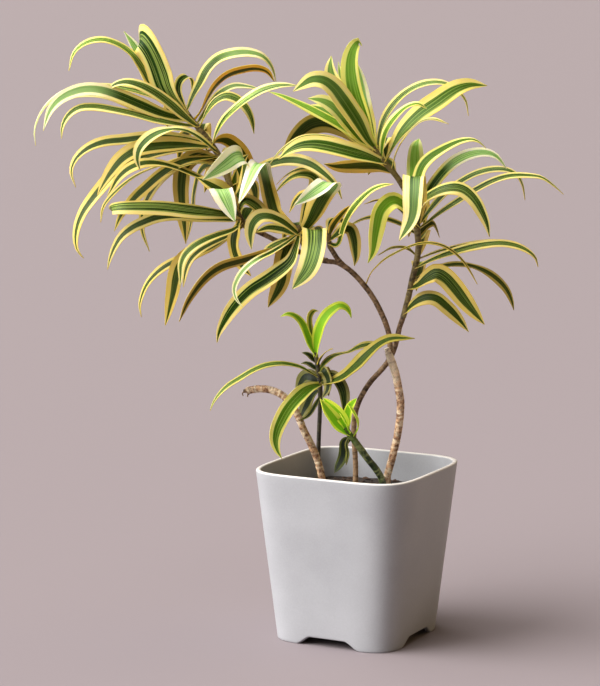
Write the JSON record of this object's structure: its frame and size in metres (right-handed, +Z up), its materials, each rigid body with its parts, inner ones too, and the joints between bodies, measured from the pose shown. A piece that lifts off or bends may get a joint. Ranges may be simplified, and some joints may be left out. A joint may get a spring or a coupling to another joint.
{
  "type": "potted song of india",
  "caption": "Song of India plant: slim ringed canes with arching green leaves edged in cream, in a tapered square planter with rounded corners.",
  "frame": {"origin": "centre of the whole plant's footprint, on the surface that the planter stands on", "axes": "+Z up; +X and +Y square to the planter's sides. In the picture the viewer looks from the -Y side, turned by 27.5 degrees towards +X"},
  "size_m": [0.4917, 0.2895, 0.6332],
  "materials": {
    "pot": "satin",
    "soil": "matte",
    "old_cane": "matte",
    "brown_cane": "matte",
    "young_stem": "satin",
    "leaf": "satin",
    "young_leaf": "satin"
  },
  "bodies": {
    "root": {"pot": "pot", "soil": "soil", "front_cane": "old_cane", "stub_cane": "old_cane", "rear_cane": "brown_cane", "shoot_stem": "young_stem", "sprout_stem": "young_stem", "left_crown": "leaf", "middle_crown": "leaf", "fork_crown": "leaf", "right_crown": "leaf", "branch_leaf": "leaf", "shoot_leaves": "young_leaf", "sprout_leaves": "young_leaf"}
  },
  "joints": []
}
